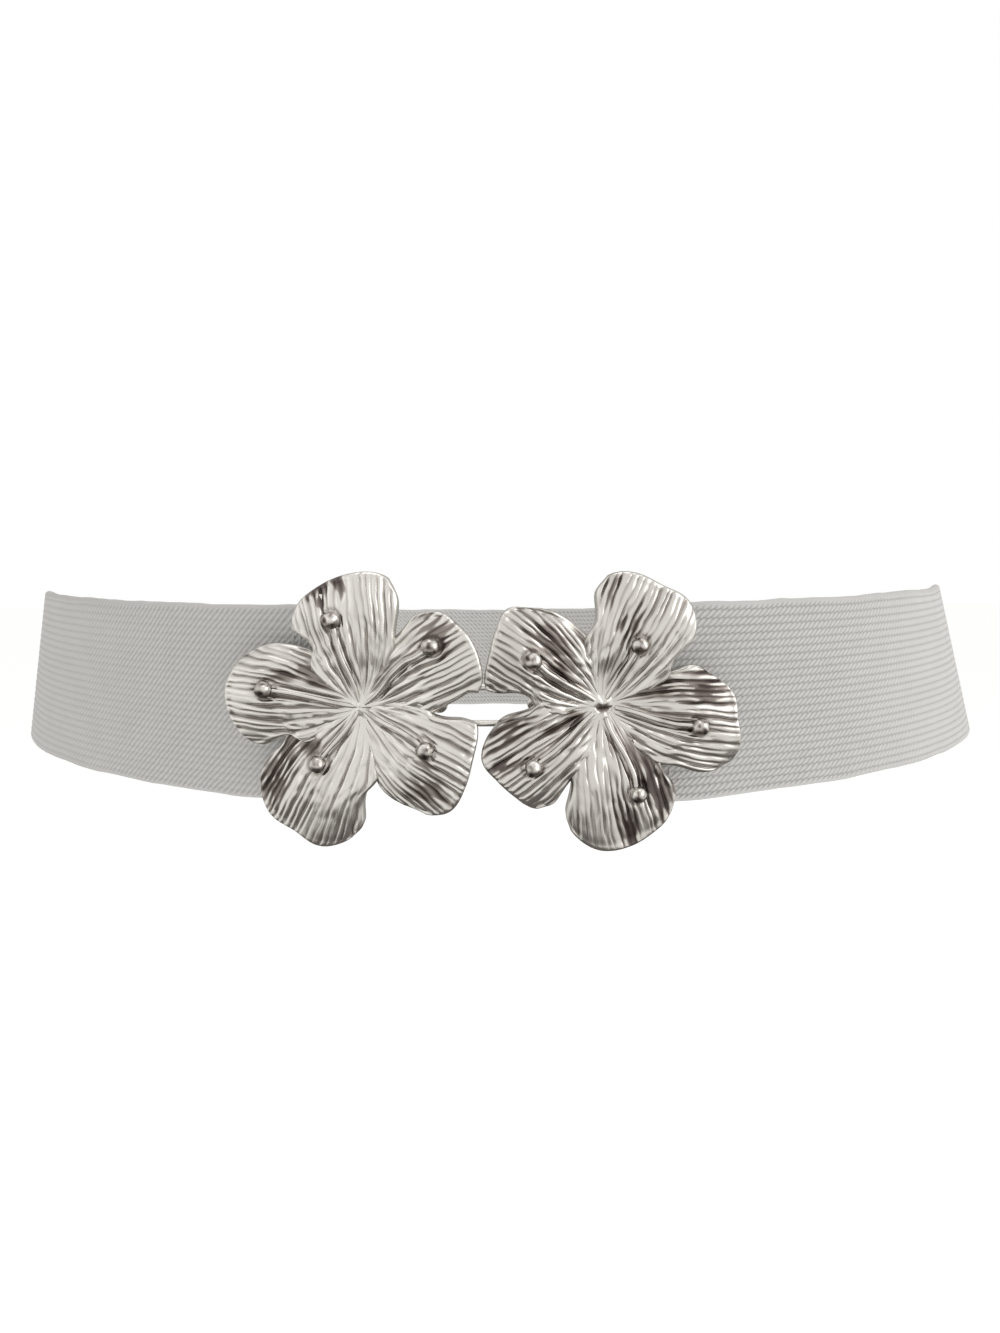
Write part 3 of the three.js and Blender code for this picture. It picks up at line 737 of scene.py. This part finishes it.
def make_petal(petal, seed, tone):
    """One petal: a ridged front over the source's plain back."""
    sheet = plate("petal", PETAL_COLUMNS, PETAL_ROWS)
    outer = near_edges(PETAL_ROWS, FLOWER_RADIUS)
    down = [HUB_END + (1 - HUB_END) * stop for stop in outer]
    half = near_edges(PETAL_COLUMNS // 2, PETAL_HALF_WIDTH)
    over = [-stop for stop in reversed(half)] + half[1:]
    deep = {}

    def point(column, row, is_front):
        s, t = down[row], over[column]
        angle, radius, _ = petal_place(petal, s, t)
        lift, dark = relief_at(petal, s, t, seed, tone) if is_front else (0.0, 0.0)
        if not is_front:
            radius -= RIM_TAPER * s
        deep[(column, row, is_front)] = dark
        forward = petal_height(petal, s, t) + lift
        return Vector((radius * math.cos(angle), -forward, radius * math.sin(angle)))

    places = mould(sheet, PETAL_COLUMNS, PETAL_ROWS, point)
    darken(sheet, [deep[place] for place in places])
    finish_mesh(sheet)
    return sheet


def make_rod(start, end, radius, sides=24, bevel=0.15):
    """A round bar between two places, its rims rounded."""
    start, end = Vector(start), Vector(end)
    bpy.ops.object.select_all(action="DESELECT")
    bpy.ops.mesh.primitive_cylinder_add(vertices=sides, radius=radius, depth=(end - start).length)
    rod = bpy.context.object
    rim = rod.modifiers.new("rim", "BEVEL")
    rim.width, rim.segments, rim.limit_method, rim.angle_limit = bevel, 2, "ANGLE", math.radians(50)
    bpy.ops.object.modifier_apply(modifier=rim.name)
    turn = Vector((0, 0, 1)).rotation_difference((end - start).normalized())
    rod.data.transform(Matrix.Translation((start + end) / 2) @ turn.to_matrix().to_4x4())
    rod.data.transform(Matrix.Scale(MILLIMETRE, 4))
    finish_mesh(rod, 40)
    return rod


def stalk_rings(petal, seed, start):
    """Places and radii along the stalk, from its start, as a share of its length, to its ball."""
    lean, stalk_end = stalk_way(petal)
    rings = []
    for k in range(STALK_STEPS + 1):
        u = start + (1 - start) * k / STALK_STEPS
        s = stalk_end * u
        t = lean * smooth(s / STALK_SETTLED)
        angle, radius, _ = petal_place(petal, s, t)
        forward = petal_height(petal, s, t) + CAST_THICKNESS + STALK_RISE + 0.2 * smooth(s / 0.25)
        swell = 0.06 * noise_at(6 * u, seed, 2.0)
        thickness = (STALK_RADIUS * (0.95 - 0.25 * u) + swell) * (0.5 + 0.5 * smooth(u / 0.2))
        place = Vector((radius * math.cos(angle), -forward, radius * math.sin(angle)))
        rings.append((place, thickness))
    return rings


def make_stalk(rings, seed):
    """A raised, slightly uneven stalk through the rings."""
    steps, sides = STALK_STEPS, STALK_SIDES
    points, faces = [], []
    for k, (place, radius) in enumerate(rings):
        ahead = (rings[min(k + 1, steps)][0] - rings[max(k - 1, 0)][0]).normalized()
        sideways = ahead.cross(Vector((0, 1, 0))).normalized()
        upwards = sideways.cross(ahead)
        for j in range(sides):
            angle = 2 * math.pi * j / sides
            out = sideways * math.cos(angle) + upwards * math.sin(angle)
            points.append((place + out * radius) * MILLIMETRE)
    for k in range(steps):
        for j in range(sides):
            a, b = k * sides + j, k * sides + (j + 1) % sides
            faces.append((a, b, b + sides, a + sides))
    faces += [tuple(range(sides)), tuple(steps * sides + j for j in range(sides))]
    bpy.ops.object.select_all(action="DESELECT")
    bpy.ops.mesh.primitive_cylinder_add(vertices=sides, radius=1, depth=2)
    stalk = bpy.context.object
    stalk.data.clear_geometry()
    stalk.data.from_pydata(points, [], faces)
    darken(stalk, [0.1 + 0.5 * max(noise.noise(vertex.co * 450 + Vector((seed, 0, 0))), 0)
                   for vertex in stalk.data.vertices])
    finish_mesh(stalk, 60)
    return stalk


def make_ball(end, seed):
    """The dented ball at a stalk's end, with painted shade darkening its underside."""
    bpy.ops.object.select_all(action="DESELECT")
    bpy.ops.mesh.primitive_uv_sphere_add(segments=24, ring_count=16, radius=BEAD_RADIUS)
    ball = bpy.context.object
    middle = Vector((end.x, end.y - BALL_LIFT, end.z))
    shades = []
    for vertex in ball.data.vertices:
        dent = 1 + 0.14 * noise.noise(vertex.co * 0.8 + Vector((seed, 0, 0)))
        spots = noise.noise(vertex.co * 1.1 + Vector((0, seed, 0)))
        # Painted shade, darker towards the ball's underside
        underside_shade = smooth((0.2 - vertex.co.z / BEAD_RADIUS) / 0.8)
        shades.append(0.2 + 0.5 * underside_shade + 1.3 * max(spots, -0.1))
        vertex.co = (middle + vertex.co * dent) * MILLIMETRE
    darken(ball, shades)
    finish_mesh(ball)
    return ball


HUB_START = 0.03  # radius of the tiny ring of faces at its middle
HUB_RADIUS = 2.9
HUB_RISE = 0.36
HUB_BACK = 0.6
PIT_HEIGHT = -0.5  # of the pit's middle, from the hub's
PIT_DEPTH = 0.9


def make_hub(hollow, seed):
    """A low star over the roots of the petals, with a pit a little below its middle where it is
    hollow, and painted shade darkening the pit."""
    rings, sides = 12, 60
    hub = plate("hub", sides, rings)
    deep = {}

    def point(column, row, is_front):
        angle = 2 * math.pi * column / sides
        u = row / rings
        radius = HUB_START + HUB_RADIUS * u
        x, z = radius * math.cos(angle), radius * math.sin(angle)
        lobe = 0.5 + 0.5 * math.cos(5 * angle + seed)
        dome = (0.8 if hollow else 0.42) * math.exp(-((radius / 1.6) ** 2))
        rise = CAST_THICKNESS + HUB_RISE + dome
        rise += 0.14 * lobe * smooth(u * 2) + 0.1 * noise_at(x * 1.3, z * 1.3, seed)
        pit = math.exp(-((x / 1.5) ** 2) - ((z - PIT_HEIGHT) / 0.75) ** 2) if hollow else 0.0
        # Painted shade in the pit, darker where it is deeper
        deep[(column, row, is_front)] = pit if is_front else 0.0
        return Vector((x, -(rise - PIT_DEPTH * pit if is_front else HUB_BACK), z))

    places = mould(hub, sides, rings, point)
    darken(hub, [deep[place] for place in places])
    select_only(hub)
    bpy.ops.object.mode_set(mode="EDIT")
    bpy.ops.mesh.select_all(action="SELECT")
    bpy.ops.mesh.remove_doubles(threshold=1e-7)
    bpy.ops.object.mode_set(mode="OBJECT")
    finish_mesh(hub)
    return hub


def place_on(petals, x, z):
    """The height of the petals' back at a place."""
    angle = math.degrees(math.atan2(z, x))

    def off(petal):
        return (angle - petal["turn"] + 180) % 360 - 180

    petal = min(petals, key=lambda each: abs(off(each)))
    s, t = 0.5, 0.0
    for _ in range(8):
        side = petal["right"] if t < 0 else petal["left"]
        t = min(max(off(petal) / through(SIDE_STOPS, [WEDGE, WEDGE, *side], s), -1), 1)
        s = min(math.hypot(x, z) / (FLOWER_RADIUS * through(RIM_STOPS, petal["reach"], t)), 1)
    return petal_height(petal, s, t)


def make_arm(bar, z, length):
    """A bracket from a petal's back to the end of the bar."""
    bpy.ops.object.select_all(action="DESELECT")
    bpy.ops.mesh.primitive_cube_add(size=1)
    arm = bpy.context.object
    arm.scale = (2 * BAR_RADIUS, length, ARM_WIDTH)
    arm.location = (bar, BAR_DEPTH + BAR_RADIUS - length / 2, z)
    settle(arm)
    rim = arm.modifiers.new("rim", "BEVEL")
    rim.width, rim.segments = 0.3, 3
    bpy.ops.object.modifier_apply(modifier=rim.name)
    arm.data.transform(Matrix.Scale(MILLIMETRE, 4))
    finish_mesh(arm, 40)
    return arm


def make_flower(name, petals, side, hollow, tone):
    """Five petals with their stamens, the hub, and behind them the bar, its arms and the stud.
    side is -1 on the left and 1 on the right, and a hollow hub has a pit."""
    parts = []
    for k, petal in enumerate(petals):
        seed = 10.0 * side + 7.3 * k
        parts.append(make_petal(petal, seed, tone))
        rings = stalk_rings(petal, seed, 0.13 if hollow else 0.06)
        parts += [make_stalk(rings, seed), make_ball(rings[-1][0], seed)]
    parts.append(make_hub(hollow, side * 1.3))
    arm_height = ELASTIC_WIDTH / 2 + BRACKET_CLEARANCE + ARM_WIDTH / 2
    bar = side * BAR_OFFSET
    low, high = -arm_height - FLOWER_HEIGHT, arm_height - FLOWER_HEIGHT
    parts.append(make_rod((bar, BAR_DEPTH, low), (bar, BAR_DEPTH, high), BAR_RADIUS))
    for z in (low, high):
        length = BAR_DEPTH + BAR_RADIUS + place_on(petals, bar, z) + CAST_THICKNESS / 2
        parts.append(make_arm(bar, z, length))
    stud = -side * (FLOWER_X - STUD_SPACING / 2 - side * CLASP_SHIFT) / math.cos(FLOWER_TURN)
    top = -place_on(petals, stud, 0) - CAST_THICKNESS / 2
    neck = LINK_GAP + LINK_WIRE + STUD_CLEARANCE
    tip = neck + STUD_HEAD_THICKNESS
    parts.append(make_rod((stud, top, 0), (stud, tip, 0), STUD_RADIUS))
    parts.append(make_rod((stud, neck, 0), (stud, tip, 0), STUD_HEAD_RADIUS, 32, 0.25))
    select_only(*parts)
    bpy.ops.object.join()
    flower = bpy.context.object
    flower.name = flower.data.name = name
    place = Matrix.Translation(Vector((side * FLOWER_X, FLOWER_Y, FLOWER_HEIGHT)) * MILLIMETRE)
    flower.data.transform(place @ Matrix.Rotation(side * FLOWER_TURN, 4, "Z"))
    return flower


def make_link():
    """A flat oval wire that holds the two studs together: a ring, drawn apart in its middle."""
    radius = LINK_HEIGHT / 2 - LINK_WIRE / 2
    straight = STUD_SPACING / 2 + STUD_RADIUS + STUD_CLEARANCE + LINK_WIRE - LINK_HEIGHT / 2
    middle = 1e-4  # a vertex this near to the middle goes with the right half
    depth = FLOWER_Y - (FLOWER_SPACING - STUD_SPACING) / 2 * math.sin(FLOWER_TURN)
    depth += LINK_GAP + LINK_WIRE / 2
    bpy.ops.object.select_all(action="DESELECT")
    bpy.ops.mesh.primitive_torus_add(
        major_radius=radius, minor_radius=LINK_WIRE / 2, major_segments=64, minor_segments=16,
        rotation=(math.pi / 2, 0, 0))
    link = bpy.context.object
    link.name = link.data.name = "clasp_ring"
    settle(link)
    for vertex in link.data.vertices:
        vertex.co.x += straight if vertex.co.x > -middle else -straight
        vertex.co += Vector((CLASP_SHIFT, depth, FLOWER_HEIGHT))
        vertex.co *= MILLIMETRE
    finish_mesh(link)
    return link


def silver_material():
    made, finish = material("polished_silver")
    place = finish.node("ShaderNodeTexCoord", {}, out=3)
    dark = finish.node("ShaderNodeAttribute", {"attribute_name": "dark"}, out=2)
    cloudy = finish.node("ShaderNodeTexNoise", {}, place, Scale=110.0, Detail=3.0)
    # The dark attribute carries painted shade and painted dark reflections; the noise adds a cloudy
    # darker tone
    cloudy_tone_and_painted_shade = (dark + (cloudy - 0.56) * 0.35).clamped()
    colour = finish.ramp(cloudy_tone_and_painted_shade, [
        (0.0, (0.72, 0.7, 0.665)), (0.3, (0.5, 0.478, 0.447)),
        (0.6, (0.28, 0.248, 0.228)), (1.0, (0.07, 0.056, 0.052))])
    rough = 0.24 + cloudy_tone_and_painted_shade * 0.12
    shader = finish.node(
        "ShaderNodeBsdfPrincipled", {}, Base_Color=colour, Metallic=1.0, Roughness=rough)
    finish.node("ShaderNodeOutputMaterial", {}, shader)
    return made


def plain_material(name, colour, roughness, glow=0.0):
    made, finish = material(name)
    shader = finish.node(
        "ShaderNodeBsdfPrincipled", {}, Base_Color=(*colour, 1.0), Roughness=roughness,
        Specular_IOR_Level=0.2, Emission_Color=(1.0, 1.0, 1.0, 1.0), Emission_Strength=glow)
    finish.node("ShaderNodeOutputMaterial", {}, shader)
    return made


silver = silver_material()

belt = make_elastic()
dress(belt, elastic_material())
left_flower = make_flower("cast_flower_left", LEFT_FLOWER, -1, False, 0.02)
right_flower = make_flower("cast_flower_right", RIGHT_FLOWER, 1, True, 0.09)
ring = make_link()
stitches = [make_stitches("fold_stitches_left", -1), make_stitches("fold_stitches_right", 1)]
for piece in (left_flower, right_flower, ring):
    dress(piece, silver)
thread = plain_material("sewing_thread", (0.6, 0.592, 0.575), 0.7)
for piece in stitches:
    dress(piece, thread)

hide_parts("elastic_band")
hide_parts("flower_left")
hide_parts("flower_right")
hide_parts("clasp_link")
for piece in (belt, left_flower, right_flower, ring, *stitches):
    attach(piece, "root")


# The camera at the photograph's angle, a pale floor and soft light, in metres and radians

CAMERA_PLACE = (0.00675, -0.2610, 0.0317)
CAMERA_YAW = 0.0195
CAMERA_PITCH = 0.1416
CAMERA_ROLL = 0.0072
CAMERA_LENS = 31.05
FLOOR_HEIGHT = -0.42

view = bpy.data.cameras.new("view")
view.sensor_fit, view.sensor_width, view.lens = "HORIZONTAL", 36.0, CAMERA_LENS
view.clip_start = 0.005
camera = bpy.data.objects.new("view", view)
scene.collection.objects.link(camera)
camera.matrix_world = (
    Matrix.Translation(CAMERA_PLACE) @ Matrix.Rotation(CAMERA_YAW, 4, "Z")
    @ Matrix.Rotation(math.pi / 2 - CAMERA_PITCH, 4, "X") @ Matrix.Rotation(-CAMERA_ROLL, 4, "Z"))
scene.camera = camera

bpy.ops.object.select_all(action="DESELECT")
bpy.ops.mesh.primitive_plane_add(size=12, location=(0, 0, FLOOR_HEIGHT))
floor = bpy.context.object
floor.name = "floor"
settle(floor)
dress(floor, plain_material("pale_floor", (0.93, 0.93, 0.925), 0.9, 0.3))
floor.visible_glossy = False


def soft_light(name, place, size, power):
    """A round white lamp that points at the middle of the loop."""
    light = bpy.data.lights.new(name, "AREA")
    light.shape, light.size, light.energy = "DISK", size, power
    made = bpy.data.objects.new(name, light)
    scene.collection.objects.link(made)
    made.location = place
    made.rotation_euler = (-Vector(place)).to_track_quat("-Z", "Y").to_euler()


soft_light("key", (1.15, -0.45, 0.45), 1.3, 5.5)
soft_light("fill", (-0.9, -0.7, 0.35), 0.8, 0.35)
soft_light("top", (0.0, 0.0, 1.1), 0.9, 1.6)

world = bpy.data.worlds.new("studio")
scene.world = world
world.use_nodes = True
sky = Finish(world.node_tree)
way = sky.node("ShaderNodeTexCoord", {}, out=0)
patches = sky.node("ShaderNodeTexNoise", {}, way, Scale=2.2, Detail=1.5, Roughness=0.5)
_, backwards, upwards = sky.split(way)
uneven = (patches - 0.5) * 0.9
# The metal reflects a white room with patches, dark below and dimmer behind
shadow = (upwards + uneven).step(-0.38, -0.8) + (backwards + uneven).step(0.1, 0.7) * 0.6
studio = sky.ramp(shadow.clamped(), [
    (0.0, (1.0, 0.99, 0.97)), (0.3, (0.78, 0.765, 0.745)),
    (0.7, (0.4, 0.38, 0.362)), (1.0, (0.17, 0.155, 0.147))])
seen = sky.node("ShaderNodeLightPath", {}, out=0)
glossy = sky.node("ShaderNodeLightPath", {}, out=3)
ambient = sky.blend(seen, (0.74, 0.74, 0.735, 1.0), (1.0, 1.0, 1.0, 1.0))
shown = sky.blend(glossy, ambient, studio)
background = sky.node("ShaderNodeBackground", {}, shown, 1.0)
sky.node("ShaderNodeOutputWorld", {}, background)

scene.view_settings.view_transform = "Standard"
